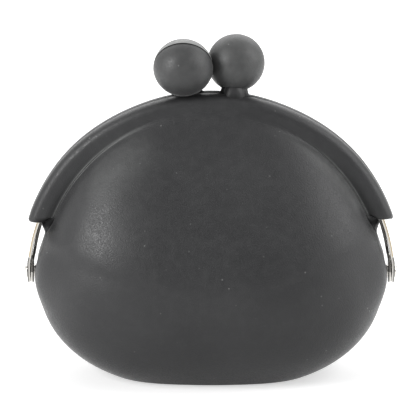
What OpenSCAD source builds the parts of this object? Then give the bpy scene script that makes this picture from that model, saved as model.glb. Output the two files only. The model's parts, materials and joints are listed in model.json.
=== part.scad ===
// Squeeze coin purse: a soft silicone bag whose mouth is held by two arched steel frame halves,
// sleeved in silicone lips, with two balls that snap across each other to keep it shut.
// X runs along the mouth, Y from the front half to the back half, and Z is up. The origin is
// under the middle of the bag, on the surface that it stands on. Sizes are in millimetres.

/* [Bag] */
// Depth of the belly, from the middle plane to its furthest point
belly_depth = 29.5; // [20:0.5:34]
// Thickness of the silicone wall
wall = 1.8; // [1.2:0.1:2.4]
// Squareness of the bag's outline from the front: 2 is an ellipse, and more is squarer
outline_power = 2.1; // [2:0.1:3]
// Squareness of the belly from the side, away from the foot
belly_power = 2.4; // [2.1:0.1:3]
// Squareness of the belly from the side, over the foot
foot_power = 2.05; // [2:0.05:3]

/* [Lips] */
// Outer radius of the arched lips
arch_r = 53.5; // [50:0.5:58]
// Height of the arch's centre above the ground
arch_z = 27; // [25:0.5:30]
// Height of a lip, measured along the arch's radius
lip_h = 5.5; // [5.2:0.1:7]
// Depth of one lip, from front to back
lip_depth = 4.85; // [4.6:0.05:6]
// Gap between the closed lips
lip_gap = 0.3; // [0.2:0.05:0.6]
// Height above the ground of the middle of a lip's end face
lip_end_z = 45; // [42:0.2:48]
// Slope of a lip's end face, lower at its outer side, in degrees
lip_end_tilt = 15; // [0:1:25]

/* [Frame] */
// Thickness of the steel strips
strip_t = 0.7; // [0.5:0.05:0.7]
// Width of the steel strips
strip_w = 3; // [2.4:0.1:3.2]
// Height of the hinge axis above the ground
hinge_z = 29; // [28.5:0.1:30]
// Radius of the round hinge plates
plate_r = 3.3; // [3:0.1:3.5]
// Radius of the rivet shafts
rivet_r = 1; // [0.8:0.1:1.2]

/* [Balls] */
// Diameter of a ball over its silicone cover
ball_d = 16; // [14:0.5:17]
// Diameter of the hard core
core_d = 12.4; // [10:0.2:12.6]
// Radius of the silicone neck under a ball
neck_r = 2.9; // [2.4:0.1:3]

/* [Hidden] */

silicone = "#454546";
steel = "#d9d6cf";
hard_plastic = "#8d8d90";
round_fn = 96;

// Clearances: soft against soft, strip against strip, shaft in bore, ball against ball
soft_gap = 0.35;
plate_gap = 0.1;
bore_gap = 0.05;
ball_gap = 0.08;

// The lips start below their sloping ends, which are then cut off
lip_start_angle = 8;
lip_edge_r = 1;

// The bag's outline, in the middle plane
lip_in_r = arch_r - lip_h;
rim_r = lip_in_r - soft_gap;
bag_half_w = rim_r + 1.15;
foot_sink = 4.5;
bag_drop = arch_z + foot_sink;
neck_angle = 20;
rim_lift = 0.6;
rim_y = lip_gap / 2 + lip_depth - rim_lift;

// The bag's grid: steps round the outline, rings from belly to outline, and the mouth's corners
steps = 60;
rings = 9;
corner_step = 3;
open_steps = 2;
foot_from = 25;
foot_span = 55;
slack_from = 15;
slack_fall = 0.6;
step_angle = 360 / steps;
last_corner = steps / 2 - corner_step;

// Strips: the front one lies just outside the back one, so their plates pass each other
front_strip_r = arch_r - 2.65;
back_strip_r = front_strip_r - strip_t - 2 * plate_gap;
strip_y = 1.2;
plate_t = strip_t + 0.1;
plate_top = hinge_z + 3.7;
plate_lap = 0.2;
shoulder_angle = 35;
plate_angle = asin((plate_top - plate_lap - arch_z) / front_strip_r);
front_plate_x = front_strip_r * cos(plate_angle) - (plate_t - strip_t) / 2;
back_plate_x = front_plate_x - plate_gap - plate_t;
head_r = rivet_r + 0.85;
outer_head_t = 1.2;
inner_head_t = 0.45;

// Balls: side by side along X, and each crosses the middle plane from its own half
ball_r = ball_d / 2;
core_r = core_d / 2;
ball_x = 0.469 * ball_d;
ball_y = sqrt(pow(ball_r + ball_gap / 2, 2) - ball_x * ball_x);
ball_rise = 0.26;
ball_z = arch_z + sqrt(pow(arch_r + ball_r + ball_rise, 2) - ball_x * ball_x);
stud_r = 1.2;
stud_y = -strip_y - strip_w * 2 / 3;
stud_z = arch_z + sqrt(pow(front_strip_r, 2) - ball_x * ball_x);
stud_run = [0, ball_y - stud_y, ball_z - stud_z];
stud_lean = atan2(stud_run[1], stud_run[2]);

function ease(t) = let (s = min(max(t, 0), 1)) s * s * (3 - 2 * s);

// The same place on the right half, as an angle from 0 at the side to 90 at the top or -90 below
function side_angle(t) = asin(sin(t));

// How far the mouth is open at a step of the outline: 0 below its corners, 1 above them
function open_at(j) = ease((min(j, steps / 2 - j) - corner_step) / open_steps);

// Radius of the outline at an angle: a squarish ellipse below, the lip's inner arc above
function lower_r(t, inset) =
    1 / pow(pow(abs(cos(t)) / (bag_half_w - inset), outline_power)
          + pow(abs(sin(t)) / (bag_drop - inset), outline_power), 1 / outline_power);
function upper_r(a, inset) = bag_half_w - inset + (rim_r - bag_half_w) * ease(a / neck_angle);
function outline_r(j, inset) =
    let (a = side_angle(j * step_angle))
    a < 0 ? lower_r(a, inset) : upper_r(a, inset) + inset * open_at(j);

// How the wall closes from the belly, at 0, to the outline, at 1: round below and at the sides,
// and from slack_from degrees up more and more a slack curve that falls away towards the mouth
function bulge(j, s) =
    let (a = side_angle(j * step_angle), slack = ease((a - slack_from) / (90 - slack_from)),
         low = ease((-a - foot_from) / foot_span), rest = 1 - s * s,
         power = belly_power + (foot_power - belly_power) * low)
    (1 - slack) * pow(1 - pow(s, power), 1 / power)
        + slack * (slack_fall * rest + (1 - slack_fall) * rest * rest);

// A point of the wall: side is -1 in front and 1 behind, and inset is 0 outside or the wall inside
function wall_point(side, inset, i, j) =
    let (s = sin(90 * i / rings), r = outline_r(j, inset) * s, t = j * step_angle,
         edge = max(rim_y - inset, 0) * open_at(j),
         y = edge + (belly_depth - inset - edge) * bulge(j, s))
    [r * cos(t), side * y, max(arch_z + r * sin(t), inset)];

function wall_sheet(side, inset) =
    [for (i = [1 : rings]) for (j = [0 : steps - 1]) wall_point(side, inset, i, j)];

// Sheets 0 to 3 are front outer, back outer, front inner and back inner. Below the mouth the
// last ring of a back sheet is that of the front sheet.
function is_open(j) = j > corner_step && j < last_corner;
function at(sheet, i, j) =
    let (k = j % steps, shared = i == rings && !is_open(k) && sheet % 2 == 1)
    (shared ? sheet - 1 : sheet) * rings * steps + (i - 1) * steps + k;
function pole(sheet) = 4 * rings * steps + sheet;

// Two triangles of a four-cornered face, turned over when flip is true
function two(a, b, c, d, flip) = flip ? [[a, c, b], [a, d, c]] : [[a, b, c], [a, c, d]];
function faces_of(sheet, flip) = concat(
    [for (j = [0 : steps - 1])
        flip ? [pole(sheet), at(sheet, 1, j + 1), at(sheet, 1, j)]
             : [pole(sheet), at(sheet, 1, j), at(sheet, 1, j + 1)]],
    [for (i = [1 : rings - 1]) for (j = [0 : steps - 1])
        for (f = two(at(sheet, i, j), at(sheet, i + 1, j), at(sheet, i + 1, j + 1),
                     at(sheet, i, j + 1), flip)) f]);
function rim_faces(outer, inner, flip) =
    [for (j = [corner_step : last_corner - 1])
        for (f = two(at(outer, rings, j), at(outer, rings, j + 1), at(inner, rings, j + 1),
                     at(inner, rings, j), flip)) f];

module pouch() {
    color(silicone) polyhedron(
        points = concat(
            wall_sheet(-1, 0), wall_sheet(1, 0), wall_sheet(-1, wall), wall_sheet(1, wall),
            [[0, -belly_depth, arch_z], [0, belly_depth, arch_z],
             [0, wall - belly_depth, arch_z], [0, belly_depth - wall, arch_z]]),
        faces = concat(
            faces_of(0, true), faces_of(1, false), faces_of(2, false), faces_of(3, true),
            rim_faces(0, 2, false), rim_faces(1, 3, true)),
        convexity = 6);
}

// Turns a profile about the arch's axis, over both ends down to the height of the hinge.
// In the profile x is the radius and y is the distance in front of the middle plane.
module arch(from_angle) {
    translate([0, 0, arch_z]) rotate([90, 0, 0]) rotate([0, 0, from_angle])
        rotate_extrude(angle = 180 - 2 * from_angle, $fn = 2 * round_fn) children();
}

module rounded_box(size, r) {
    translate([r, 0]) square([size[0] - 2 * r, size[1]]);
    translate([0, r]) square([size[0], size[1] - 2 * r]);
    for (x = [r, size[0] - r], y = [r, size[1] - r])
        translate([x, y]) circle(r, $fn = 32);
}

// A block that takes away everything below the sloping end face of a lip, on the side of x
module below_lip_end(side) {
    reach = 20;
    mirror([side < 0 ? 1 : 0, 0, 0])
        translate([arch_r - lip_h, 0, lip_end_z]) rotate([0, lip_end_tilt, 0])
            translate([-reach, -reach, -2 * reach]) cube([2 * reach, 2 * reach, 2 * reach]);
}

module lip(strip_r) {
    color(silicone) difference() {
        arch(lip_start_angle) translate([lip_in_r, lip_gap / 2])
            rounded_box([lip_h, lip_depth], lip_edge_r);
        strip_arch(strip_r);
        stud_shape(stud_r);
        for (side = [-1, 1]) below_lip_end(side);
    }
}

module strip_arch(strip_r) {
    arch(plate_angle) translate([strip_r, strip_y]) square([strip_t, strip_w]);
}

// One flat hinge plate on the right, with its face at plate_x, that carries on the strip and
// rounds off about the hinge axis
module hinge_plate(plate_x) {
    strip_front = strip_y + strip_w;
    top = plate_top - hinge_z;
    shoulder = 0.9 * plate_r * [cos(shoulder_angle), sin(shoulder_angle)];
    translate([plate_x, 0, hinge_z]) rotate([90, 0, 90]) linear_extrude(plate_t) {
        circle(plate_r, $fn = round_fn);
        polygon([
            [-strip_front, top], [-strip_y, top], shoulder, [0, 0], -shoulder, [-strip_front, 0]
        ]);
    }
}

module frame(strip_r, plate_x) {
    color(steel) difference() {
        union() {
            strip_arch(strip_r);
            hinge_plate(plate_x);
            mirror([1, 0, 0]) hinge_plate(plate_x);
        }
        translate([0, 0, hinge_z]) rotate([0, 90, 0])
            cylinder(r = rivet_r + bore_gap, h = 3 * arch_r, center = true, $fn = round_fn);
    }
}

// Rivet on the right: shaft through both plates, domed outer head and thin clenched inner head
module rivet() {
    inner_x = back_plate_x - inner_head_t;
    outer_x = front_plate_x + plate_t;
    dome_r = (head_r * head_r + outer_head_t * outer_head_t) / (2 * outer_head_t);
    color(steel) translate([0, 0, hinge_z]) rotate([0, 90, 0]) {
        translate([0, 0, inner_x]) cylinder(r = head_r, h = inner_head_t, $fn = round_fn);
        translate([0, 0, inner_x]) cylinder(r = rivet_r, h = outer_x - inner_x, $fn = round_fn);
        intersection() {
            translate([0, 0, outer_x]) cylinder(r = head_r, h = outer_head_t, $fn = round_fn);
            translate([0, 0, outer_x + outer_head_t - dome_r]) sphere(dome_r, $fn = round_fn);
        }
    }
}

// Moves along the leaning axis of the front half's ball, which starts on the steel strip
module on_stud_axis() {
    translate([ball_x, stud_y, stud_z]) rotate([-stud_lean, 0, 0]) children();
}

module stud_shape(r) {
    on_stud_axis() translate([0, 0, -strip_w]) cylinder(r = r, h = norm(stud_run) + strip_w, $fn = 48);
}

// What lies inside the arch of the given radius
module inside_arch(r) {
    translate([0, 0, arch_z]) rotate([90, 0, 0]) cylinder(r = r, h = 4 * ball_d, center = true, $fn = 192);
}

module ball_stud(strip_r) {
    color(steel) difference() {
        stud_shape(stud_r);
        inside_arch(strip_r + strip_t);
    }
}

module ball_core() {
    color(hard_plastic) difference() {
        translate([ball_x, ball_y, ball_z]) sphere(core_r, $fn = round_fn);
        stud_shape(stud_r);
    }
}

// Silicone over the core, with the neck that runs down to the lip and keeps to its own half there
module ball_cover() {
    neck_top = lip_gap + 0.5;
    color(silicone) difference() {
        union() {
            translate([ball_x, ball_y, ball_z]) sphere(ball_r, $fn = round_fn);
            on_stud_axis() cylinder(r = neck_r, h = norm(stud_run), $fn = 64);
        }
        translate([ball_x, ball_y, ball_z]) sphere(core_r, $fn = round_fn);
        stud_shape(stud_r);
        inside_arch(arch_r);
        translate([-ball_d, -lip_gap / 2, 0]) cube([3 * ball_d, ball_d, arch_z + arch_r + neck_top]);
    }
}

// The back half is the front one turned half round, with its strip one layer further in
module turned() {
    rotate([0, 0, 180]) children();
}

pouch();
mirror([1, 0, 0]) rivet();  // left_rivet
rivet();  // right_rivet
lip(front_strip_r);  // front_lip
frame(front_strip_r, front_plate_x);  // front_frame
ball_stud(front_strip_r);  // front_ball_stud
ball_core();  // front_ball_core
ball_cover();  // front_ball_cover
turned() lip(back_strip_r);  // back_lip
turned() frame(back_strip_r, back_plate_x);  // back_frame
turned() ball_stud(back_strip_r);  // back_ball_stud
turned() ball_core();  // back_ball_core
turned() ball_cover();  // back_ball_cover
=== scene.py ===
import json
import math

import bpy
import numpy as np
from bpy.props import FloatProperty, FloatVectorProperty, PointerProperty
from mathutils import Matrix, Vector


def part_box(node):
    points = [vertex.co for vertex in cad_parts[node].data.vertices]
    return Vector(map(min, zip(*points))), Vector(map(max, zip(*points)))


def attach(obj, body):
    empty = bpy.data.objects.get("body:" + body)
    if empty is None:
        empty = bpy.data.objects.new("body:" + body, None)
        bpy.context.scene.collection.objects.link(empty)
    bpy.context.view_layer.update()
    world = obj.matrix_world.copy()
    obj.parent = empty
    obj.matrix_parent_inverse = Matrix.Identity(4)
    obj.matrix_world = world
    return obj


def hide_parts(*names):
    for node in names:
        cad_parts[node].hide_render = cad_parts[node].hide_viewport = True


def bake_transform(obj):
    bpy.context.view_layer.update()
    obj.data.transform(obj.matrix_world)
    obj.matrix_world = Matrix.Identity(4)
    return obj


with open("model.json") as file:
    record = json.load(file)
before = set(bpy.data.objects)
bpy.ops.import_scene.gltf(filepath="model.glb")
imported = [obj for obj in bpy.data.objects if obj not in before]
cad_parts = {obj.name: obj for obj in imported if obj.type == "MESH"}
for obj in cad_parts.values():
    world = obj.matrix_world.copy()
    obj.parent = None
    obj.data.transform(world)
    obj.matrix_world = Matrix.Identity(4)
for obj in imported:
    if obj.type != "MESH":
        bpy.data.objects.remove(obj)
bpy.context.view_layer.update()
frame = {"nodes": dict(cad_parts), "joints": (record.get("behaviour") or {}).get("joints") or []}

bl_info = {
    "name": "Squeeze Coin Purse",
    "version": (1, 0, 0),
    "blender": (4, 5, 0),
    "location": "3D View > Sidebar > Purse",
    "description": "Models a silicone kiss-lock coin purse, its steel frame, its finishes and its stage",
    "category": "Add Mesh",
}

MM = 0.001
SAME_PLACE = 1e-4 * MM
HINGE = Vector(frame["joints"][0]["pos_m"])


# Sizes and colours


def size(name, default, description):
    """A length property, in metres, shown in the scene's unit."""
    return FloatProperty(
        name=name, description=description, default=default, unit="LENGTH", precision=5
    )


def angle(name, default, description):
    """An angle property whose default is given in degrees."""
    return FloatProperty(
        name=name, description=description, default=math.radians(default), subtype="ANGLE"
    )


def colour(name, default, description):
    """A colour property in linear light."""
    return FloatVectorProperty(
        name=name, description=description, default=default, subtype="COLOR", min=0, max=1
    )


class BagSizes(bpy.types.PropertyGroup):
    """Sizes of the soft bag."""

    depth: size("Belly depth", -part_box("pouch")[0].y, "From the middle plane to the belly's front")
    wall: size("Wall", 1.8 * MM, "Thickness of the silicone wall")
    half_width: size("Half width", 48.2 * MM, "From the middle to the bag's widest point")
    drop: size("Drop", 31.5 * MM, "From the arch's centre to the bottom of the bag's oval")
    foot_round: size("Foot rounding", 0.6 * MM, "Height over which the belly runs into the flat foot")
    power: FloatProperty(
        name="Outline squareness", description="Power of the bag's oval: 2 is an ellipse", default=2.17
    )
    belly_power: FloatProperty(
        name="Belly squareness", description="Power of the belly's curve seen from the side", default=2.4
    )
    foot_power: FloatProperty(
        name="Foot squareness", description="The same over the foot", default=2.05
    )
    knuckle: size("Knuckle", 1.7 * MM, "How far the bag swells past its edge, in front of the hinges")
    corner: angle("Mouth corner", 12.5, "Where the mouth's slit ends, above the arch's centre")


class LipSizes(bpy.types.PropertyGroup):
    """Sizes of the arched lips."""

    outer: size("Outer radius", 53.5 * MM, "Radius of the top of the lips")
    shoulder: size("Shoulder", 0.4 * MM, "How far the lips stand outside that radius at their sides")
    flat: size("Flatness", 0.75 * MM, "How far the top of the arch lies below its shoulders")
    centre_z: size("Arch height", 27 * MM, "Height of the arch's centre")
    front: size("Front face", 5.0 * MM, "From the middle plane to the lip's front face")
    gap: size("Half gap", 0.03 * MM, "From the middle plane to the lip's back face")
    crease_side: size("Crease at the side", 47.1 * MM, "Radius of the crease near the lip's ends")
    crease_top: size("Crease at the top", 47.7 * MM, "Radius of the crease at the top of the arch")
    groove: size("Groove", 0.3 * MM, "Depth of the groove between lip and wall, at the sides")
    bead: size("Bead", 0.1 * MM, "Height of the fine bead along the lip's edge at the crease")
    edge: size("Front edge", 2.7 * MM, "Radius of the lip's outer front edge")
    edge_top: size("Front edge at the top", 2.9 * MM, "The same at the top of the arch")
    web: size("Web", 50.2 * MM, "Radius that the bag's edge reaches under the lip's ends")
    back_edge: size("Back edge", 0.35 * MM, "Radius of the edges at the mouth's gap")
    back_edge_top: size("Back edge at the top", 0.7 * MM, "The same on top of the arch")
    end_right: size("Right end", 46.3 * MM, "Height of the lip's right end, at its inner side")
    end_left: size("Left end", 45.4 * MM, "Height of the lip's left end, at its inner side")
    end_round: size("End rounding", 1.1 * MM, "Radius of the edges round the lip's ends")
    lean_from: size("Lean start", 4.5 * MM, "How far inside its top the lip's face starts to lean back")
    lean: FloatProperty(name="Lean", description="How much the face leans back to the way out", default=0.1)
    end_fall: size("End fall", 1.6 * MM, "How much lower the lip's end is at its outer side")


class BallSizes(bpy.types.PropertyGroup):
    """Sizes of the balls and their necks."""

    radius: size("Radius", 8 * MM, "Radius of a ball over its cover")
    neck: size("Neck", 4.1 * MM, "Half the width of a neck")
    neck_tall: size("Neck height", 5 * MM, "From the lip's top to the neck's upper end, inside the ball")
    neck_front: size("Neck front", 2 * MM, "From the middle plane to the front of a neck's foot")
    neck_lean: size("Neck lean", 2.2 * MM, "How far a neck leans back as it rises")
    neck_aside: size("Neck sideways", -0.4 * MM, "How far a neck stands beside its ball's middle")
    dome_wide: size("Dome width", 2.9 * MM, "Half the width of the dome on a neck's front")
    dome_tall: size("Dome height", 4.1 * MM, "Height of that dome")
    dome_deep: size("Dome depth", 1.95 * MM, "How far that dome stands out")
    core_gap: size("Core gap", 0.03 * MM, "Between a core and the hollow of its cover")
    flare: size("Neck flare", 0.9 * MM, "Radius of the hollow where a neck spreads onto the lip")
    seam: size("Seam", 0.24 * MM, "Half the width of the seam round a ball")
    step: size("Cap step", 0.1 * MM, "How much smaller the cap beyond the seam is")
    wide: FloatProperty(name="Widening", description="Width to height of the back ball", default=1.036)
    front_x: size("Front ball sideways", -0.58 * MM, "How far the front half's cover sits off its core")
    back_x: size("Back ball sideways", -0.16 * MM, "How far the back half's cover sits off its core")
    front_z: size("Front ball upwards", -0.45 * MM, "How far the front half's cover sits above its core")
    back_z: size("Back ball upwards", -0.6 * MM, "How far the back half's cover sits above its core")


class FrameSizes(bpy.types.PropertyGroup):
    """Sizes of the steel frame halves and the rivets."""

    strip_y: size("Strip back", 1.2 * MM, "From the middle plane to the strip's near edge")
    strip_w: size("Strip width", 3 * MM, "Width of the strips")
    strip_t: size("Strip thickness", 0.85 * MM, "Thickness of the strips")
    plate: size("Plate radius", 3.3 * MM, "Radius of the round hinge plates")
    edge: size("Edge", 0.16 * MM, "Radius of the strips' rounded edges")
    arch: size("Strip radius", 50.95 * MM, "Radius of the front strip's arch, amid its thickness")
    plate_x: size("Plate", 50.9 * MM, "From the middle to the front half's hinge plates")
    plate_top: size("Plate top", 31.5 * MM, "Height up to which the strip's end is upright")
    arch_foot: size("Arch foot", 37.5 * MM, "Height from which the strip follows its arch")
    layer: size("Layer", 0.9 * MM, "How far the back half lies inside the front half")
    rivet_in: size("Rivet inside", 49.6 * MM, "From the middle to the rivet's inner head")
    rivet_out: size("Rivet outside", 51.3 * MM, "From the middle to the rivet's outer head")
    rivet_shaft: size("Rivet shaft", 1 * MM, "Radius of the rivet's shaft")
    rivet_head: size("Rivet head", 1.85 * MM, "Radius of the rivet's heads")
    rivet_dome: size("Rivet dome", 1.15 * MM, "Height of the rivet's outer head")


class PurseColours(bpy.types.PropertyGroup):
    """Colours of the finishes."""

    silicone: colour("Silicone", (0.0289, 0.0292, 0.0304), "The clean silicone")
    bloom: colour("Bloom", (0.078, 0.079, 0.080), "The powdery bloom on the silicone")
    # Painted light: a pale colour painted on for highlights and for light falling on the skin and balls.
    painted_light: colour("Painted light", (0.24, 0.245, 0.24), "Rubbed edges of the silicone")
    # Painted shade: a dark colour painted into creases, hollows, seams, the necks' feet and onto the
    # strips.
    painted_shade: colour("Painted shade", (0.008, 0.008, 0.008), "Grime in the seams")
    dust: colour("Dust", (0.36, 0.36, 0.35), "Specks of dust and lint")
    nickel: colour("Nickel", (0.78, 0.76, 0.72), "The polished nickel plate")
    tarnish: colour("Tarnish", (0.52, 0.45, 0.36), "The dulled nickel in the corners")
    # Painted reflection: a tan line on the front strip's outer edge.
    tan: colour("Painted tan reflection", (0.42, 0.33, 0.20), "The painted tan reflection on the front strip's outer edge")
    plastic: colour("Core plastic", (0.27, 0.27, 0.28), "The hard cores inside the balls")
    floor: colour("Floor", (0.7, 0.7, 0.7), "The floor")


class StageLevels(bpy.types.PropertyGroup):
    """Light levels and the camera's place."""

    sky: FloatProperty(name="Sky", description="Level of the even light from all round", default=0.255)
    front: FloatProperty(name="Front", description="Level that gloss shows from the dim side", default=0.3)
    key: FloatProperty(name="Left softbox", description="Power in watts", default=2.4)
    rim: FloatProperty(name="Right softbox", description="Power in watts", default=2.2)
    back: FloatProperty(name="Back softbox", description="Power in watts", default=2.2)
    floor_glow: FloatProperty(name="Floor glow", description="Lift of the floor to white", default=0.56)
    distance: size("Distance", 0.9, "From the camera to the middle of the view")
    pitch: angle("Pitch", 14, "The camera's angle above the horizon")
    lens: FloatProperty(name="Lens", description="Focal length in millimetres", default=276.2)


GROUPS = {
    "purse_bag": BagSizes,
    "purse_lip": LipSizes,
    "purse_ball": BallSizes,
    "purse_frame": FrameSizes,
    "purse_colours": PurseColours,
    "purse_stage": StageLevels,
}


# Plain helpers


def smooth(value, start, end):
    """0 up to start, 1 from end on, and 3t^2 - 2t^3 in between."""
    t = np.clip((value - start) / (end - start), 0, 1)
    return t * t * (3 - 2 * t)


def hump(value, middle, width):
    """1 at the middle, falling to both sides as exp(-x^2), with x counted in widths."""
    return np.exp(-(((value - middle) / width) ** 2))


def mix(a, b, t):
    """a where t is 0, b where t is 1."""
    return a + (b - a) * t


def steps(count, start=0.0, end=1.0):
    """count even steps from start, left out, to end, taken in."""
    return np.linspace(start, end, count + 1)[1:]


def grid_faces(rows, columns, wrap):
    """Four-cornered faces between neighbours of a grid numbered row by row. With wrap, the last row joins
    the first."""
    index = np.arange(rows * columns).reshape(rows, columns)
    if wrap:
        index = np.vstack([index, index[:1]])
    return np.stack(
        [index[:-1, :-1], index[1:, :-1], index[1:, 1:], index[:-1, 1:]], axis=-1
    ).reshape(-1, 4)


def welded(points, quads):
    """Merges points at the same place. A quad with two merged corners becomes a triangle, and one with
    more is dropped."""
    key = np.round(points / SAME_PLACE).astype(np.int64)
    _, first, number = np.unique(key, axis=0, return_index=True, return_inverse=True)
    quads = number.reshape(-1)[quads]
    same = quads == np.roll(quads, -1, axis=1)
    whole = quads[same.sum(1) == 0]
    pinched = same.sum(1) == 1
    keep = ~same[pinched]
    triangles = quads[pinched][keep].reshape(-1, 3)
    return points[first], [*whole.tolist(), *triangles.tolist()]


def signed_volume(points, faces):
    """Volume inside the faces, below zero if they point inwards."""
    total = 0.0
    for corners in (3, 4):
        ring = np.array([f for f in faces if len(f) == corners], dtype=int).reshape(-1, corners)
        for k in range(1, corners - 1):
            a, b, c = points[ring[:, 0]], points[ring[:, k]], points[ring[:, k + 1]]
            total += float((a * np.cross(b, c)).sum()) / 6
    return total


def capped(points):
    """A tube's grid with a point in the middle of each end, so that welding closes it."""
    ends = [np.repeat(points[:, k].mean(0)[None], len(points), 0)[:, None] for k in (0, -1)]
    return np.concatenate([ends[0], points, ends[1]], axis=1)


def closed_shell(grid, wrap=True, inward=False):
    """A grid's welded shell, whose faces point outwards, or inwards for the wall of a hollow."""
    points, faces = welded(grid.reshape(-1, 3), grid_faces(*grid.shape[:2], wrap))
    if (signed_volume(points, faces) < 0) != inward:
        faces = [f[::-1] for f in faces]
    return points, faces


def make_piece(name, shells, material, sharp=50):
    """One smooth-shaded object from closed shells. Edges over the sharp angle, in degrees, stay crisp."""
    points = np.concatenate([s[0] for s in shells])
    faces, base = [], 0
    for shell_points, shell_faces in shells:
        faces += [[v + base for v in f] for f in shell_faces]
        base += len(shell_points)
    mesh = bpy.data.meshes.new(name)
    mesh.from_pydata(points.tolist(), [], faces)
    mesh.polygons.foreach_set("use_smooth", np.ones(len(faces), bool))
    mesh.set_sharp_from_angle(angle=math.radians(sharp))
    mesh.materials.append(material)
    mesh.update()
    piece = bpy.data.objects.new(name, mesh)
    bpy.context.scene.collection.objects.link(piece)
    return piece


def turned(points):
    """The back half's place for a point of the front half: half a turn about the upright axis."""
    return points * np.array([-1, -1, 1])


# The silicone skin: half the bag and one lip, moulded in one


def side_angle(a):
    """An angle round the arch, in degrees, as its height above or below the arch's centre, from -90 to
    90."""
    return np.degrees(np.arcsin(np.sin(np.radians(a))))


def crease_radius(up, lip):
    """Radius at which wall and lip meet: a little less at the sides than at the top."""
    return mix(lip.crease_side, lip.crease_top, smooth(up, 20, 70))


def top_radius(up, lip):
    """Outer radius of the lips: the arch has full shoulders and a slightly flattened top."""
    return lip.outer + lip.shoulder - lip.flat * smooth(up, 38, 70)


def closing(s, up, bag):
    """How far the wall stands out, from 1 at the belly, s 0, to 0 at its edge, s 1. Below and at the
    sides it is round, (1 - s^power)^q, and at the top a slack curve, 0.6(1 - s^2) + 0.4(1 - s^2)^2."""
    power = mix(bag.belly_power, bag.foot_power, smooth(-up, 25, 80))
    q = mix(1 / power, 0.5, smooth(up, 0, 25))
    rounded = (1 - np.clip(s, 0, 1) ** power) ** q
    rest = 1 - s * s
    slack = 0.6 * rest + 0.4 * rest * rest
    return mix(rounded, slack, smooth(up, 15, 90))


def face_depth(r, up, lip):
    """Depth of the lip's front face: flat near the crease, t^2 / 2 over the next millimetre, then
    straight and leaning back."""
    out = (r - top_radius(up, lip) + lip.lean_from) / MM
    ramp = np.where(out < 1, np.clip(out, 0, 1) ** 2 / 2, out - 0.5)
    return lip.front - lip.lean * ramp * MM


def front_depth(r, up, bag, lip):
    """Depth of wall and lip over the radius: the wall closes towards the groove at the crease, and a
    short rise leads onto the lip's face. Each depth is then the mean of nine around it, over a width that
    grows towards the top, and a fine bead is added beside the crease."""
    crease = crease_radius(up, lip)
    groove = lip.front - lip.groove * (1 - smooth(up, 40, 80))
    width = mix(0.4, 2.6, smooth(up, 48, 85)) * MM
    total, weights = 0.0, 0.0
    for offset in np.linspace(-1, 1, 9):
        at = np.abs(r + offset * width)
        wall = groove + (bag.depth - groove) * closing(np.minimum(at / crease, 1), up, bag)
        onto_lip = mix(groove, face_depth(at, up, lip), smooth(at - crease, 0, 0.55 * MM))
        weight = 1.02 - offset * offset
        total = total + weight * np.where(at < crease, wall, onto_lip)
        weights += weight
    return total / weights + lip.bead * hump((r - crease) / MM, 0.6, 0.3) * (1 - smooth(up, 50, 80))


def end_angle(height, lip):
    """Angle of the lip's end at the crease, for the end's height."""
    return math.degrees(math.asin((height - lip.centre_z) / lip.crease_side))


def lip_loop(up, bag, lip):
    """Radii and depths round the lip: from the groove over the face and the top, and down the gap's side
    to the inner wall."""
    crease = crease_radius(up, lip)
    near = crease + 1.2 * MM
    lean = math.atan(lip.lean)
    outer, edge = top_radius(up, lip), front_edge(up, lip)
    edge_r = outer - edge
    face_end = edge_r + edge * math.sin(lean)
    edge_y = face_depth(face_end, up, lip) - edge * math.cos(lean)
    rounding = mix(lip.back_edge, lip.back_edge_top, smooth(up, 45, 80))
    back_r, back_y = outer - rounding, lip.gap + rounding
    inner_back_y = lip.gap + lip.back_edge
    inner_r = crease + lip.back_edge
    inner_y = lip.front - lip.groove - bag.wall
    turn = np.radians(np.linspace(math.degrees(lean), 90, 9))[None]
    back_turn = np.radians(np.linspace(90, 180, 7))[None]
    inner_turn = np.radians(np.linspace(180, 270, 6))[None]
    one = np.ones_like(up)
    face_r = np.hstack([
        crease + (near - crease) * steps(12)[None],
        near + (face_end - near) * steps(8)[None],
    ])
    r = [
        face_r,
        edge_r + edge * np.sin(turn[:, 1:]),
        outer * np.ones((1, 4)),
        back_r + rounding * np.sin(back_turn),
        mix(back_r, inner_r, steps(5)[None]),
        inner_r + lip.back_edge * np.sin(inner_turn[:, 1:]),
        mix(crease, crease - 0.9 * MM, steps(3)[None]),
    ]
    y = [
        front_depth(face_r, up, bag, lip),
        edge_y + edge * np.cos(turn[:, 1:]),
        mix(edge_y, back_y, np.linspace(0, 1, 6)[None, 1:-1]) * one,
        back_y + rounding * np.cos(back_turn),
        one * lip.gap * np.ones((1, 5)),
        one * (inner_back_y + lip.back_edge * np.cos(inner_turn[:, 1:])),
        one * mix(inner_back_y, inner_y, steps(3)[None]),
    ]
    return np.hstack(r), np.hstack(y)


def inset(r, y, amount):
    """The lip's loop drawn in by an amount, less and less towards the wall at both its ends."""
    dr, dy = np.gradient(r, axis=1), np.gradient(y, axis=1)
    length = np.hypot(dr, dy) + 1e-12
    count = r.shape[1]
    k = np.arange(count)[None]
    hold = smooth(k, 0, 14) * smooth(count - 1 - k, 0, 6)
    return r - amount * hold * -dy / length, y - amount * hold * dr / length


def skin_stations(lip):
    """Angles of the profiles round the arch, in degrees: those of the lip's right and left end, those
    above, which crowd at the ends, and those below."""
    right, left = end_angle(lip.end_right, lip), 180 - end_angle(lip.end_left, lip)
    from_end = np.array([0, 0.05, 0.14, 0.28, 0.48, 0.75, 1.1])
    crowd = np.degrees(from_end * MM / lip.outer)
    upper = np.concatenate([
        right + crowd, np.linspace(right + 2, left - 2, 116), (left - crowd)[::-1]
    ])
    t = np.linspace(0, 1, 190)
    lower = mix(left, 360 + right, t - 0.045 * np.sin(2 * np.pi * t) / np.pi)
    return right, left, upper, lower


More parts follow.
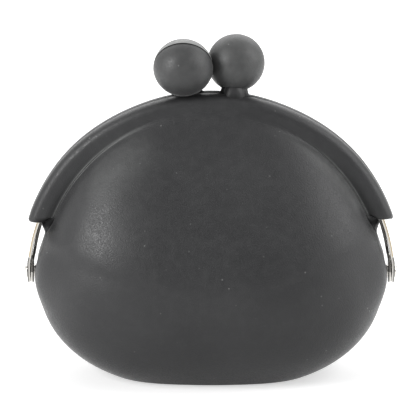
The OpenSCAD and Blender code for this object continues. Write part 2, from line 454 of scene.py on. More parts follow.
def knuckle_share(r, depth, up, bag):
    """How much the bag swells sideways in front of the hinges: by the depth in millimetres, the angle
    above the arch's centre, and the share of the bag's half width."""
    out = depth / MM
    band = smooth(out, 3, 7.5) * (1 - smooth(out, 9, 18))
    height = smooth(up, -11, 4) * (1 - 0.5 * smooth(up, 4, 14)) * (1 - smooth(up, 17, 21))
    return band * height * smooth(r / bag.half_width, 0.8, 0.92)


def front_edge(up, lip):
    """Radius of the lip's outer front edge, which is rounder towards the top of the arch."""
    return mix(lip.edge, lip.edge_top, smooth(up, 50, 82))


def skin_points(bag, lip):
    """Points of the front half's skin on a grid: one profile to a row, from the belly round the lip or
    the seam and back along the inner wall. Above, the profile takes in the lip. Below, its loop shrinks
    to the wall's edge."""
    right, left, upper, lower = skin_stations(lip)

    def wall_part(a, radius, edge_y, outer):
        """Outer or inner wall from the belly to its edge, as a sine of the way out."""
        up = side_angle(a)
        depth = bag.depth - (0 if outer else bag.wall)
        way = np.sin(np.linspace(0, math.pi / 2, 65 if outer else 45))[None]
        return radius * way, edge_y + (depth - edge_y) * closing(way * np.ones_like(up), up, bag)

    # Above, with the lip
    a = upper[:, None]
    up = side_angle(a)
    crease = crease_radius(up, lip)
    way = np.sin(np.linspace(0, math.pi / 2, 65))[None]
    outer_r = crease * way
    outer_y = front_depth(outer_r, up, bag, lip)
    loop_r, loop_y = lip_loop(up, bag, lip)
    from_end = np.minimum(a - right, left - a) * math.pi / 180 * lip.outer
    over_edge = np.clip(lip.end_round - from_end, 0, None)
    shrink = lip.end_round - np.sqrt(np.maximum(lip.end_round**2 - over_edge**2, 0))
    loop_r, loop_y = inset(loop_r, loop_y, shrink)
    inner_r, inner_y = wall_part(a, loop_r[:, -1:], loop_y[:, -1:], False)
    above = np.stack([
        np.hstack([outer_r, loop_r, inner_r[:, -2::-1]]),
        np.hstack([outer_y, loop_y, inner_y[:, -2::-1]]),
        a + np.zeros((1, outer_r.shape[1] + loop_r.shape[1] + inner_r.shape[1] - 1)),
    ], axis=-1)
    start, count = outer_r.shape[1], loop_r.shape[1]
    loop = slice(start, start + count)

    # The end's height falls towards the outer side
    fall_off = 1 - smooth(np.minimum(a - right, left - a), 0, 16)
    end_z = np.where(a < 90, lip.end_right, lip.end_left)
    r_here = above[:, loop, 0]
    lowered = end_z - lip.end_fall * smooth(r_here - lip.crease_side, 0, 3.2 * MM)
    target = np.degrees(np.arcsin(np.clip((lowered - lip.centre_z) / r_here, -1, 1)))
    at_end = np.where(a < 90, right, 180 - left)
    shift = (target - at_end) * fall_off * np.where(a < 90, 1, -1)
    above[:, loop, 2] += shift

    # Below, where the loop is only the wall's edge
    b = lower[:, None]
    low = side_angle(b)
    c, s = np.abs(np.cos(np.radians(b))), np.abs(np.sin(np.radians(b)))

    def oval(drawn_in):
        """Radius of the bag's squarish oval, ((c / w)^p + (s / h)^p)^(-1 / p)."""
        wide, tall = bag.half_width - drawn_in, bag.drop - drawn_in
        return ((c / wide) ** bag.power + (s / tall) ** bag.power) ** (-1 / bag.power)

    end_up = np.where(np.cos(np.radians(b)) > 0, right, 180 - left)
    corner = math.degrees(bag.corner)
    open_share = smooth(low, corner, end_up)
    to_lip = smooth(low, end_up - 7.4, end_up - 3.4)
    near_end = smooth(low, end_up - 12, end_up)
    groove = lip.front - lip.groove
    bag_r = np.where(low > 0, bag.half_width, oval(0))
    edge_r = mix(bag_r, lip.web, to_lip)
    edge_y = 0.55 * groove * open_share
    turn_r = mix(bag_r, lip.crease_side, near_end)
    turn_y = mix(edge_y, groove, near_end)
    inside_r = mix(
        np.where(low > 0, bag.half_width - bag.wall, oval(bag.wall)),
        lip.crease_side - 0.9 * MM, open_share,
    )
    inside_y = (groove - bag.wall) * open_share
    wall_r, wall_y = wall_part(b, turn_r, turn_y, True)
    in_r, in_y = wall_part(b, inside_r, inside_y, False)
    along = steps(24)[None]
    over = steps(count - 24)[None]
    round_off = 0.3 * MM * open_share * np.sin(np.pi * over)
    edge_loop_r = np.hstack([
        mix(turn_r, edge_r, np.sin(along * np.pi / 2)),
        mix(edge_r, inside_r, over) + round_off,
    ])
    edge_loop_y = np.hstack([
        mix(edge_y, turn_y, np.cos(along * np.pi / 2)),
        mix(edge_y, inside_y, over),
    ])
    below = np.stack([
        np.hstack([wall_r, edge_loop_r, in_r[:, -2::-1]]),
        np.hstack([wall_y, edge_loop_y, in_y[:, -2::-1]]),
        b + np.zeros((1, above.shape[1])),
    ], axis=-1)

    # Rows between the wall's edge and the lip's end face
    def between(edge_row, lip_row):
        return [mix(edge_row, lip_row, t) for t in (0.25, 0.5, 0.75)]

    rows = np.concatenate([
        above,
        np.stack(between(below[0], above[-1])[::-1]),
        below,
        np.stack(between(below[-1] - [0, 0, 360], above[0])),
    ])
    r, depth, theta = rows[..., 0], rows[..., 1], np.radians(rows[..., 2])
    r = r + bag.knuckle * knuckle_share(r, depth, side_angle(rows[..., 2]), bag)
    x, z = r * np.cos(theta), lip.centre_z + r * np.sin(theta)
    floor_z = np.where(np.arange(rows.shape[1]) < start + count // 2, 0, bag.wall)[None]
    h = bag.foot_round
    over = z - floor_z
    z = floor_z + np.where(over > h, over, np.clip(over + h, 0, None) ** 2 / (4 * h))
    return np.stack([x, -depth, z], axis=-1)


def crease_light_paint(points, lip):
    """How much light, above 0, or shade, below 0, is painted on the skin. A fine pale line of painted
    highlight runs just outside the crease and fades towards the top. Painted shade lies at both its sides,
    in the hollows under the lip's ends and on the crown between the balls, and painted light on the wall
    beside the crease."""
    x, y, z = points.T
    radius = np.maximum(np.hypot(x, z - lip.centre_z), 0.01 * MM)
    up = np.degrees(np.arcsin(np.clip((z - lip.centre_z) / radius, -1, 1)))
    past = (radius - crease_radius(up, lip)) / MM
    in_front = y < -lip.front + 1.2 * MM
    left = x < 0

    # Painted highlight: a fine pale line just outside the crease.
    highlight_span = smooth(up, 21.5, 24.5) * (1 - smooth(up, np.where(left, 40, 34), np.where(left, 74, 56)))
    line = hump(past, 0.5, 0.34) * highlight_span * in_front * np.where(left, 0.8, 1)
    # Painted shade on both sides of the crease.
    on_lip = 0.5 * hump(past, 1, 1.6) * (past > 0)
    on_bag = np.where(left, 0.5, 0.1) * hump(past, 0, 2.2) * (past <= 0)
    beside = (on_lip + on_bag) * in_front * smooth(up, 12, 20) * (1 - smooth(up, 24, 50))
    # Painted shade on the crown between the balls, over a highlight there.
    from_gap = np.abs(y) / MM
    crown = (0.95 - 0.5 * smooth(from_gap, 1.2, 2.8)) * (1 - smooth(from_gap, 3.7, 4.7))
    crown *= smooth(past, 3.2, 4.4) * (1 - smooth(np.abs(x) / MM, 8, 20))
    # Painted shade in the hollows under the lip's ends.
    from_end = np.hypot(past - 1.4, 1.6 * (z / MM - 44))
    under_end = 1 - smooth(from_end, np.where(left, 1.2, 0.8), np.where(left, 4.8, 2.8))
    under_end *= (y < 0) * (z < 45.5 * MM)
    painted_dark = np.maximum(np.maximum(beside, crown), 0.9 * under_end)
    # Painted light on the wall beside the crease.
    wall_light_left = 0.16 * hump(past, -5, 4.5) * smooth(up, 33, 45) * (1 - smooth(up, 58, 72))
    wall_light_right = 0.28 * hump(past, -0.6, 1.1) * smooth(up, 24, 30) * (1 - smooth(up, 45, 65))
    wall_light = np.where(left, wall_light_left, wall_light_right) * in_front
    return mix(wall_light - painted_dark, 1.0, line * (1 - under_end))


def set_light_paint(piece, values):
    """Stores how much light, above 0, or shade, below 0, is painted on a piece at each point."""
    light_paint = piece.data.attributes.new("light_paint", "FLOAT", "POINT")
    light_paint.data.foreach_set("value", values.astype(np.float32))


class PURSE_OT_skins(bpy.types.Operator):
    """Build the two silicone skins, each half the bag with its lip"""

    bl_idname = "purse.skins"
    bl_label = "Silicone Skins"

    def execute(self, context):
        bag, lip = context.scene.purse_bag, context.scene.purse_lip
        points, faces = closed_shell(skin_points(bag, lip))
        material = silicone_material(context.scene.purse_colours)
        for side, place in (("front", points), ("back", turned(points))):
            piece = make_piece(side + "_skin", [(place, faces)], material, sharp=60)
            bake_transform(piece)
            set_light_paint(piece, crease_light_paint(points, lip))
            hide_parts("pouch", side + "_lip")
        return {"FINISHED"}


# Balls and necks

# Each ball's seam lies across an axis, at a share of the radius along it. Painted light is how much paler
# the whole cover is painted, for the rim light on it.
SEAMS = {
    "front": {"axis": (0.17, 0.936, -0.295), "along": 0.1, "painted_light": 0.22},
    "back": {"axis": (0.0, 0.93, 0.367), "along": -0.03, "painted_light": 0.14},
}


def ball_centre(side):
    """Middle of the ball's core in the CAD frame."""
    low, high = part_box(side + "_ball_core")
    return np.array((low + high) / 2)


def cover_centre(side, sizes):
    """Middle of the ball's silicone cover, which sits a little off its core."""
    front = side == "front"
    aside, upwards = (sizes.front_x, sizes.front_z) if front else (sizes.back_x, sizes.back_z)
    return ball_centre(side) + np.array((aside, 0, upwards))


def sphere_points(angles, radii, centre, axis):
    """Rings about an axis: each has its angle from the axis, in radians, and its radius from the
    centre."""
    axis = Vector(axis).normalized()
    across = axis.orthogonal().normalized()
    other = axis.cross(across)
    turn = np.linspace(0, 2 * math.pi, 97)[:-1, None, None]
    out = np.cos(turn) * np.array(across) + np.sin(turn) * np.array(other)
    ring = np.sin(angles)[None, :, None] * out + np.cos(angles)[None, :, None] * np.array(axis)
    return centre + ring * radii[None, :, None]


def ball_shells(side, sizes):
    """A sphere with a narrow V-shaped seam at a fixed angle from its axis, and a cap beyond the seam that
    is a step smaller, round a hollow for the core."""
    seam = SEAMS[side]
    centre = cover_centre(side, sizes)
    at = math.acos(seam["along"])
    half = sizes.seam / sizes.radius
    angles = np.concatenate([
        np.linspace(0, at - 4 * half, 36),
        at + half * np.linspace(-3, 3, 25),
        np.linspace(at + 4 * half, math.pi, 60),
    ])
    off = (angles - at) / half
    notch = 1.7 * sizes.seam * np.clip(1 - np.abs(off), 0, 1)
    radii = sizes.radius - sizes.step * (1 - smooth(off, -3, 0)) - notch
    outer = sphere_points(angles, radii, centre, seam["axis"])
    outer[..., 0] = centre[0] + (outer[..., 0] - centre[0]) * (sizes.wide if side == "back" else 1)
    low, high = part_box(side + "_ball_core")
    hollow = np.full(40, (high.x - low.x) / 2 + sizes.core_gap)
    inner = sphere_points(np.linspace(0, math.pi, 40), hollow, ball_centre(side), seam["axis"])
    return [closed_shell(outer), closed_shell(inner, inward=True)]


def ball_light_paint(ball, side, sizes):
    """Painted shade in the seam, and a cap beyond it painted paler for the light falling on it, whose
    painted light fades again towards its pole.
    """
    points = np.empty(3 * len(ball.data.vertices))
    ball.data.vertices.foreach_get("co", points)
    seam = SEAMS[side]
    axis = np.array(Vector(seam["axis"]).normalized())
    away = (points.reshape(-1, 3) - cover_centre(side, sizes)) @ axis / sizes.radius - seam["along"]
    # Painted light on the cap and painted shade in the seam.
    cap = smooth(away, 0, 0.06) * (1 - 0.75 * smooth(away, 0.25, 0.6))
    return mix(seam["painted_light"], 1, cap) - 1.9 * hump(away, 0, 0.045)


def lip_top(x, y, lip):
    """Height of the lip's top surface, which drops round its front and back edges."""
    front_start = lip.front - 0.4 * MM - lip.edge_top
    back_start = lip.gap + lip.back_edge_top
    depth = -y
    drop = np.zeros_like(depth)
    up = np.degrees(np.arccos(np.clip(np.abs(x) / lip.outer, 0, 1)))
    for radius, past in ((lip.edge_top, depth - front_start), (lip.back_edge_top, back_start - depth)):
        p = np.clip(past, 0, 0.98 * radius)
        drop = np.maximum(drop, radius - np.sqrt(radius**2 - p**2))
    return lip.centre_z + np.sqrt((top_radius(up, lip) - drop) ** 2 - x * x)


def neck_points(centre, sizes, lip):
    """Rings of the front half's neck: ovals that stand on the lip's top with a hollow flare to the sides,
    keep inside the lip's depth there, and lean back into the ball as they rise. The front bulges as a
    dome, by sqrt(1 - across^2 - height^2)."""
    quarter = np.radians(np.linspace(90, 0, 10))
    height = np.concatenate([
        sizes.flare * (1 - np.sin(quarter)) - 0.02 * MM,
        np.linspace(sizes.flare, sizes.neck_tall, 22)[1:],
    ])
    wider = np.concatenate([sizes.flare * (1 - np.cos(quarter)), np.zeros(21)])
    up = np.clip(height, 0, None) / sizes.neck_tall
    front = -sizes.neck_front + sizes.neck_lean * up**2 - 0.6 * wider
    back = -lip.gap - 0.08 * MM + 1.1 * height * smooth(height, 0, 2 * MM)
    half_x = sizes.neck + wider - 0.5 * MM * np.sin(np.pi * up)
    turn = np.linspace(0, 2 * math.pi, 161)[:-1, None]
    across = half_x[None] * np.cos(turn)
    x = centre[0] + sizes.neck_aside + across
    y = (front + back)[None] / 2 + (back - front)[None] / 2 * np.sin(turn)
    from_middle = ((across + 0.1 * MM) / sizes.dome_wide) ** 2 + (height[None] / sizes.dome_tall) ** 2
    soft = 0.02
    dome = np.sqrt(np.clip(1 - from_middle, 0, 1) + soft) - math.sqrt(soft)
    y = y - sizes.dome_deep * dome * smooth(-np.sin(turn), 0, 0.3)
    foot = lip_top(x, y, lip)
    level = lip_top(np.array(centre[0]), np.array(-2.5 * MM), lip) + sizes.neck_tall
    z = foot + height[None] / sizes.neck_tall * (level - foot)
    return np.stack([x, y, z], axis=-1)


class PURSE_OT_balls(bpy.types.Operator):
    """Build the two snap balls and the necks that they stand on"""

    bl_idname = "purse.balls"
    bl_label = "Snap Balls"

    def execute(self, context):
        sizes, lip = context.scene.purse_ball, context.scene.purse_lip
        material = bpy.data.materials["Matt silicone"]
        points, faces = closed_shell(capped(neck_points(cover_centre("front", sizes), sizes, lip)))
        above_lip = points[:, 2] - lip_top(points[:, 0], points[:, 1], lip)
        for side in ("front", "back"):
            ball = make_piece(side + "_ball", ball_shells(side, sizes), material, sharp=80)
            set_light_paint(ball, ball_light_paint(ball, side, sizes))
            place = points if side == "front" else turned(points)
            stem = make_piece(side + "_neck", [(place, faces)], material)
            # Painted shade at each neck's foot, darkest where it meets the lip.
            set_light_paint(stem, -0.6 * (1 - smooth(above_lip, 0, 2.2 * MM)))
            for piece in (ball, stem):
                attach(piece, side + "_half")
                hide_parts(side + "_ball_cover")
        return {"FINISHED"}


# Steel frame and rivets


def strip_section(front, back, thick, edge):
    """Round-edged flat section, as a loop of places across, from front to back, and through the
    thickness."""
    half_w, half_t = (back - front) / 2, thick / 2
    middle = (front + back) / 2
    corner = np.minimum(edge, half_w * 0.98)
    turn = np.radians(np.linspace(0, 90, 5))
    across, through = [], []
    for quarter, (sx, sy) in enumerate(((1, 1), (-1, 1), (-1, -1), (1, -1))):
        t = turn + quarter * math.pi / 2
        across.append(middle + sx * (half_w - corner) + corner * np.cos(t)[None])
        through.append(sy * (half_t - edge) + edge * np.sin(t)[None] + np.zeros_like(half_w))
        if quarter in (0, 2):
            gap = np.linspace(0, 1, 6)[None, 1:-1]
            far_end = middle - sx * (half_w - corner) + corner * math.cos(t[-1])
            across.append(mix(across[-1][:, -1:], far_end, gap))
            through.append(through[-1][:, -1:] + np.zeros_like(gap))
    return np.hstack(across), np.hstack(through)


def frame_points(sizes, lip, layer):
    """Grid of a frame half, by how far it lies inside the other: a strip along the arch and flat end
    plates down to the hinges, where a disc about the hinge narrows into the strip."""
    radius = sizes.arch - layer
    disc = HINGE.z - sizes.plate * np.cos(np.radians(np.linspace(0.5, 90, 22)))
    rise = np.linspace(HINGE.z, sizes.arch_foot, 26)[1:]
    arch_from = math.asin((sizes.arch_foot - lip.centre_z) / radius)
    right_z = np.concatenate([disc, rise])
    on_arch = np.sqrt(np.maximum(radius**2 - (right_z - lip.centre_z) ** 2, 0))
    onto_arch = smooth(right_z, sizes.plate_top, sizes.plate_top + 3 * MM)
    right_x = mix(sizes.plate_x - layer, on_arch, onto_arch)
    arch = np.linspace(arch_from, math.pi - arch_from, 150)[1:-1]
    x = np.concatenate([right_x, radius * np.cos(arch), -right_x[::-1]])
    z = np.concatenate([right_z, lip.centre_z + radius * np.sin(arch), right_z[::-1]])
    high = np.clip(z - HINGE.z, -sizes.plate, None)
    disc_half = np.sqrt(np.maximum(sizes.plate**2 - np.minimum(high, 0.55 * sizes.plate) ** 2, 1e-12))
    strip_front, strip_back = -sizes.strip_y - sizes.strip_w, -sizes.strip_y
    back = mix(disc_half, strip_back, smooth(high, 0.9 * MM, 6.9 * MM))
    front = mix(-disc_half, strip_front, smooth(high, -1.8 * MM, 0.8 * MM))
    dx, dz = np.gradient(x), np.gradient(z)
    length = np.hypot(dx, dz)
    normal = np.stack([dz / length, np.zeros_like(x), -dx / length], axis=-1)
    across, through = strip_section(front[:, None], back[:, None], sizes.strip_t, sizes.edge)
    path = np.stack([x, np.zeros_like(x), z], axis=-1)[:, None]
    points = path + normal[:, None] * through[..., None]
    points[..., 1] = across
    points = np.concatenate([points, points[:, :1]], axis=1)
    return capped(points.swapaxes(0, 1)).swapaxes(0, 1)


def strip_light_paint(points, side, radius, lip):
    """A painted tan reflection, above 0, on the outer edge of the front strip, and painted shade, below 0,
    on the back strip and along the edges of the plates."""
    x, z = points[:, 0], points[:, 2]
    low = z < 34 * MM
    out = np.where(low, np.abs(x) - radius + 0.3 * MM, np.hypot(x, z - lip.centre_z) - radius)
    outer_edge = smooth(out, -0.024 * MM, 0.216 * MM)
    if side == "front":
        return np.where(low, -0.9 * outer_edge, outer_edge)
    return np.where(low, -0.9 * (1 - outer_edge), -0.95)


def rivet_profile(sizes):
    """Radius over the place along the axis: clenched inner head, shaft, and a low dome with a small flat
    on top."""
    head, shaft = sizes.rivet_head, sizes.rivet_shaft
    inner, outer, rim = sizes.rivet_in - 0.45 * MM, sizes.rivet_out, 0.18 * MM
    turn = np.radians(np.linspace(0, 90, 12))
    round_in = np.radians(np.linspace(0, 90, 6))
    inner_flat = head - 0.45 * MM
    place = np.concatenate([
        [inner + 0.1 * MM, inner, inner],
        inner + 0.2 * MM * (1 - np.cos(round_in)),
        [sizes.rivet_in, sizes.rivet_in, outer, outer, outer + rim],
        outer + rim + (sizes.rivet_dome - rim) * np.sin(turn),
    ])
    radius = np.concatenate([
        [0, 0.5 * MM, inner_flat],
        inner_flat + 0.35 * MM * np.sin(round_in),
        [head - 0.1 * MM, shaft, shaft, head - 0.08 * MM, head],
        head * np.cos(turn),
    ])
    return place, radius


class PURSE_OT_frames(bpy.types.Operator):
    """Build the two steel frame halves and the rivets that join them"""

    bl_idname = "purse.frames"
    bl_label = "Steel Frame"

    def execute(self, context):
        sizes, lip = context.scene.purse_frame, context.scene.purse_lip
        material = nickel_material(context.scene.purse_colours)
        for side, layer in (("front", 0), ("back", sizes.layer)):
            grid = frame_points(sizes, lip, layer)
            shell = closed_shell(grid if side == "front" else turned(grid), wrap=False)
            piece = make_piece(side + "_strip", [shell], material, sharp=40)
            set_light_paint(piece, strip_light_paint(shell[0], side, sizes.arch - layer, lip))
            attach(piece, side + "_half")
            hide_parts(side + "_frame")
        place, radius = rivet_profile(sizes)
        turn = np.linspace(0, 2 * math.pi, 65)[:-1, None]
        for name, way in (("left_rivet", -1), ("right_rivet", 1)):
            grid = np.stack([
                way * place[None] + 0 * turn,
                radius[None] * np.cos(turn),
                HINGE.z + radius[None] * np.sin(turn),
            ], axis=-1)
            piece = make_piece(name + "_head", [closed_shell(grid)], material, sharp=40)
            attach(piece, "pouch")
            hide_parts(name)
        return {"FINISHED"}


# Finishes

NODES_IN_A_ROW = 8
NODE_WIDTH, NODE_HEIGHT = 260, 340


def feed(tree, made, inputs):
    """Sets a node's inputs to values, or links them from sockets."""
    for key, value in inputs.items():
        if isinstance(value, bpy.types.NodeSocket):
            tree.links.new(value, made.inputs[key])
        else:
            made.inputs[key].default_value = value


def node(tree, kind, inputs=None, **settings):
    """Adds a node beside those that the tree has, and feeds its inputs."""
    row, column = divmod(len(tree.nodes), NODES_IN_A_ROW)
    made = tree.nodes.new(kind)
    made.location = (NODE_WIDTH * column, -NODE_HEIGHT * row)
    for key, value in settings.items():
        setattr(made, key, value)
    feed(tree, made, inputs or {})
    return made


def new_material(name):
    """An empty node material with its shader and output, and the object's own coordinates."""
    material = bpy.data.materials.new(name)
    material.use_nodes = True
    tree = material.node_tree
    tree.nodes.clear()
    shader = node(tree, "ShaderNodeBsdfPrincipled")
    output = node(tree, "ShaderNodeOutputMaterial")
    tree.links.new(shader.outputs[0], output.inputs[0])
    coords = node(tree, "ShaderNodeTexCoord").outputs["Object"]
    return material, tree, shader, coords


def noise(tree, coords, scale, detail):
    """Fine noise over the object's own coordinates. The scale is in cells to a metre."""
    inputs = {"Vector": coords, "Scale": scale, "Detail": detail, "Roughness": 0.55}
    return node(tree, "ShaderNodeTexNoise", inputs).outputs["Fac"]


def spread(tree, value, low, high, to_low=0.0, to_high=1.0):
    """Stretches a value's range, and holds it at the ends."""
    inputs = {"Value": value, "From Min": low, "From Max": high, "To Min": to_low, "To Max": to_high}
    return node(tree, "ShaderNodeMapRange", inputs).outputs["Result"]


def blend_colour(tree, factor, a, b):
    """Colour a where the factor is 0 and b where it is 1."""
    a, b = [c if isinstance(c, bpy.types.NodeSocket) else (*c, 1) for c in (a, b)]
    return node(tree, "ShaderNodeMix", {0: factor, 6: a, 7: b}, data_type="RGBA").outputs[2]


def math_node(tree, operation, *values):
    """One to three values joined by a sum, product or other operation."""
    return node(tree, "ShaderNodeMath", dict(enumerate(values)), operation=operation).outputs[0]


def bumped(tree, height, strength, depth):
    """The surface's direction with a fine relief, whose depth is a length."""
    inputs = {"Height": height, "Strength": strength, "Distance": depth}
    return node(tree, "ShaderNodeBump", inputs).outputs[0]


def light_paint_value(tree):
    """The painted light, above 0, or painted shade, below 0, stored at each point."""
    return node(tree, "ShaderNodeAttribute", attribute_name="light_paint").outputs["Fac"]


def silicone_material(colours):
    """Matt moulded silicone: a soft mottled bloom, a fine grain, and specks of dust and lint. Where light
    is painted on it is paler, and where shade is painted on it is dark and dull."""
    material, tree, shader, coords = new_material("Matt silicone")
    cloud = noise(tree, coords, 55, 4)
    patch = noise(tree, coords, 420, 3)
    grain = noise(tree, coords, 2600, 2)
    cells = node(tree, "ShaderNodeTexVoronoi", {"Vector": coords, "Scale": 330.0, "Randomness": 1.0})
    speck = spread(tree, cells.outputs["Distance"], 0.05, 0.10, 1, 0)
    few = spread(tree, noise(tree, coords, 90, 2), 0.52, 0.62)
    dust = math_node(tree, "MULTIPLY", speck, few)
    thin_dust = math_node(tree, "MULTIPLY", dust, 0.3)
    in_clouds = spread(tree, cloud, 0.35, 0.7, 0, 0.16)
    in_patches = spread(tree, patch, 0.45, 0.7, 0, 0.09)
    bloom = math_node(tree, "ADD", in_clouds, in_patches)
    light_paint = light_paint_value(tree)
    patchy = spread(tree, patch, 0.3, 0.6, 0.7, 1.0)
    # Painted light makes the colour paler here, and painted shade makes it dark and dulls the gloss.
    pale = spread(tree, math_node(tree, "MULTIPLY", light_paint, patchy), 0, 1)
    painted_dark = spread(tree, light_paint, 0, -1, 0, 0.85)
    tone = blend_colour(tree, bloom, colours.silicone, colours.bloom)
    tone = blend_colour(tree, thin_dust, tone, colours.dust)
    tone = blend_colour(tree, pale, tone, colours.painted_light)
    uneven = math_node(tree, "MULTIPLY_ADD", patch, 0.35, grain)
    height = math_node(tree, "MULTIPLY_ADD", patch, 0.2, grain)
    feed(tree, shader, {
        "Base Color": blend_colour(tree, painted_dark, tone, colours.painted_shade),
        "Roughness": spread(tree, uneven, 0.45, 0.9, 0.3, 0.6),
        "Specular IOR Level": spread(tree, light_paint, -0.1, -1, 0.5, 0.04),
        "IOR": 1.42,
        "Sheen Weight": 0.3,
        "Sheen Roughness": 0.25,
        "Normal": bumped(tree, height, 0.8, 0.08 * MM),
    })
    return material


def nickel_material(colours):
    """Polished nickel plate with fine scratches, a dull film in patches, and a painted tan reflection and
    painted shade on edges."""
    material, tree, shader, coords = new_material("Polished nickel")
    along = node(tree, "ShaderNodeMapping", {"Vector": coords, "Scale": (9, 1, 1)}).outputs[0]
    lines = noise(tree, along, 1800, 3)
    film = noise(tree, coords, 380, 4)
    dull = spread(tree, film, 0.5, 0.8, 0.0, 0.35)
    light_paint = light_paint_value(tree)
    # Painted tan reflection and painted shade, from the values stored on the strips.
    tan_reflection = spread(tree, light_paint, 0, 1, 0, 0.9)
    painted_dark = spread(tree, light_paint, 0, -1, 0, 0.95)
    metal = blend_colour(tree, dull, colours.nickel, colours.tarnish)
    metal = blend_colour(tree, tan_reflection, metal, colours.tan)
    scratched = spread(tree, lines, 0.3, 0.8, 0.08, 0.2)
    feed(tree, shader, {
        "Base Color": blend_colour(tree, painted_dark, metal, colours.painted_shade),
        "Roughness": math_node(tree, "MULTIPLY_ADD", dull, 0.3, scratched),
        "Metallic": 1.0,
        "Normal": bumped(tree, lines, 0.08, 0.02 * MM),
    })
    return material


def plastic_material(colours):
    """Bare moulded plastic of the hidden cores, with faint flow marks."""
    material, tree, shader, coords = new_material("Core plastic")
    flow = noise(tree, coords, 200, 3)
    darker = [0.8 * c for c in colours.plastic]
    feed(tree, shader, {
        "Base Color": blend_colour(tree, flow, darker, colours.plastic),
        "Roughness": spread(tree, flow, 0.3, 0.7, 0.42, 0.55),
        "Normal": bumped(tree, flow, 0.1, 0.05 * MM),
    })
    return material


class PURSE_OT_inner_parts(bpy.types.Operator):
    """Give the studs and cores inside the balls their finishes"""

    bl_idname = "purse.inner_parts"
    bl_label = "Inner Parts"

    def execute(self, context):
        plastic = plastic_material(context.scene.purse_colours)
        nickel = bpy.data.materials["Polished nickel"]
        for side in ("front", "back"):
            for name, material in (("_ball_stud", nickel), ("_ball_core", plastic)):
                part = frame["nodes"][side + name]
                part.data.materials.clear()
                part.data.materials.append(material)
        return {"FINISHED"}


# Stage


def softbox(name, direction, distance, width, height, power):
    """A rectangular lamp that looks at the purse from a direction, and isn't seen itself."""
    lamp = bpy.data.lights.new(name, "AREA")
    lamp.shape = "RECTANGLE"
    lamp.size, lamp.size_y, lamp.energy = width, height, power
    held = bpy.data.objects.new(name, lamp)
    way = Vector(direction).normalized()
    held.location = Vector((0, 0, 0.045)) + way * distance
    held.rotation_euler = way.to_track_quat("Z", "Y").to_euler()
    held.visible_camera = False
    bpy.context.scene.collection.objects.link(held)


def background_level(tree, plain, gloss):
    """Level of the background: the plain one for light that falls on things, 1 for the camera, and a
    socket of its own for what gloss shows."""
    rays = node(tree, "ShaderNodeLightPath").outputs
    seen = math_node(tree, "MAXIMUM", rays["Is Camera Ray"], rays["Is Transmission Ray"])
    level = spread(tree, seen, 0.0, 1.0, plain, 1.0)
    shown = math_node(tree, "MULTIPLY", rays["Is Glossy Ray"], gloss)
    matt = spread(tree, rays["Is Glossy Ray"], 0, 1, 1, 0)
    return math_node(tree, "ADD", math_node(tree, "MULTIPLY", level, matt), shown)


def floor_material(colours, levels):
    """A pale matt floor that takes the shadow. For the camera it is lifted to white with the distance
    from the purse, and gloss sees it lit behind the purse and dimmer in front."""
    material, tree, shader, coords = new_material("Pale floor")
    grain = noise(tree, coords, 800, 2)
    tone = [*colours.floor]
    rays = node(tree, "ShaderNodeLightPath").outputs
    away = node(tree, "ShaderNodeVectorMath", {0: coords}, operation="LENGTH").outputs["Value"]
    lift = spread(tree, away, 0.05, 0.5, levels.floor_glow, 1.0)
    place = node(tree, "ShaderNodeSeparateXYZ", {0: coords}).outputs
    aside = math_node(tree, "ABSOLUTE", place["X"])
    beyond = math_node(tree, "MULTIPLY_ADD", aside, 0.8, place["Y"])
    behind = spread(tree, beyond, 0.0, 0.08, levels.front, 1.0)
    seen = math_node(tree, "MULTIPLY", rays["Is Camera Ray"], lift)
    shown = math_node(tree, "MULTIPLY", rays["Is Glossy Ray"], behind)
    feed(tree, shader, {
        "Base Color": blend_colour(tree, grain, [0.99 * c for c in tone], tone),
        "Roughness": 0.9,
        "Specular IOR Level": 0.0,
        "Emission Color": (1, 1, 1, 1),
        "Emission Strength": math_node(tree, "ADD", seen, shown),
    })
    return material


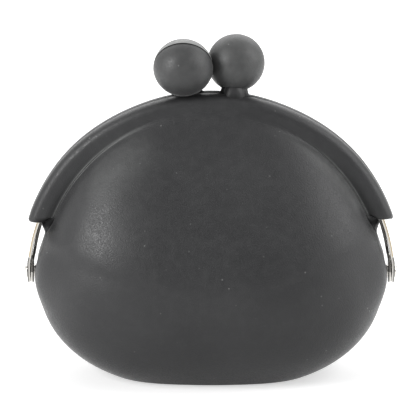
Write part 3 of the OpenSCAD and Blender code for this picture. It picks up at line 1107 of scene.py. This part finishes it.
class PURSE_OT_stage(bpy.types.Operator):
    """Set up the pale floor, the soft studio light and the camera"""

    bl_idname = "purse.stage"
    bl_label = "Stage"

    def execute(self, context):
        scene, levels = context.scene, context.scene.purse_stage
        half_side, below = 4.0, 0.05 * MM
        corners = [(-1, -1), (1, -1), (1, 1), (-1, 1)]
        mesh = bpy.data.meshes.new("floor")
        mesh.from_pydata([(half_side * x, half_side * y, -below) for x, y in corners], [], [(0, 1, 2, 3)])
        mesh.materials.append(floor_material(scene.purse_colours, levels))
        floor = bpy.data.objects.new("floor", mesh)
        scene.collection.objects.link(floor)

        world = bpy.data.worlds.new("white_room")
        world.use_nodes = True
        scene.world = world
        tree = world.node_tree
        way = node(tree, "ShaderNodeTexCoord").outputs["Generated"]
        depth = node(tree, "ShaderNodeSeparateXYZ", {0: way}).outputs["Y"]
        gloss = spread(tree, depth, -0.5, 0.3, levels.front, 1.0)
        feed(tree, tree.nodes["Background"], {
            "Color": (1, 1, 1, 1), "Strength": background_level(tree, levels.sky, gloss),
        })

        softbox(
            "left_softbox", direction=(-0.81, -0.57, 0.46), distance=0.55,
            width=0.16, height=0.3, power=levels.key,
        )
        softbox(
            "right_softbox", direction=(0.95, -0.20, 0.58), distance=0.55,
            width=0.42, height=0.5, power=levels.rim,
        )
        softbox(
            "back_softbox", direction=(0, 0.72, 0.7), distance=0.6,
            width=0.9, height=0.45, power=levels.back,
        )

        lens = bpy.data.cameras.new("camera")
        lens.lens, lens.sensor_width = levels.lens, 36
        lens.clip_start, lens.clip_end = 0.01, 20
        camera = bpy.data.objects.new("camera", lens)
        aim = Vector((-0.28 * MM, 0, 46.5 * MM))
        back = Vector((0, -math.cos(levels.pitch), math.sin(levels.pitch)))
        camera.location = aim + back * levels.distance
        camera.rotation_euler = back.to_track_quat("Z", "Y").to_euler()
        scene.collection.objects.link(camera)
        scene.camera = camera
        scene.view_settings.view_transform = "Standard"
        return {"FINISHED"}


class PURSE_PT_panel(bpy.types.Panel):
    """Lists the purse's sizes and the steps that build it."""

    bl_label = "Squeeze Coin Purse"
    bl_idname = "PURSE_PT_panel"
    bl_space_type = "VIEW_3D"
    bl_region_type = "UI"
    bl_category = "Purse"

    def draw(self, context):
        for name, group in GROUPS.items():
            box = self.layout.box()
            box.label(text=group.__doc__)
            for key in group.__annotations__:
                box.prop(getattr(context.scene, name), key)
        for operator in OPERATORS:
            self.layout.operator(operator.bl_idname)


OPERATORS = (PURSE_OT_skins, PURSE_OT_balls, PURSE_OT_frames, PURSE_OT_inner_parts, PURSE_OT_stage)


def register():
    for kind in (*GROUPS.values(), *OPERATORS, PURSE_PT_panel):
        bpy.utils.register_class(kind)
    for name, group in GROUPS.items():
        setattr(bpy.types.Scene, name, PointerProperty(type=group))


def unregister():
    for name in GROUPS:
        delattr(bpy.types.Scene, name)
    for kind in (PURSE_PT_panel, *OPERATORS, *GROUPS.values()):
        bpy.utils.unregister_class(kind)


def main():
    """Builds the purse and its stage."""
    register()
    bpy.ops.purse.skins()
    bpy.ops.purse.balls()
    bpy.ops.purse.frames()
    bpy.ops.purse.inner_parts()
    bpy.ops.purse.stage()


if __name__ == "__main__":
    main()
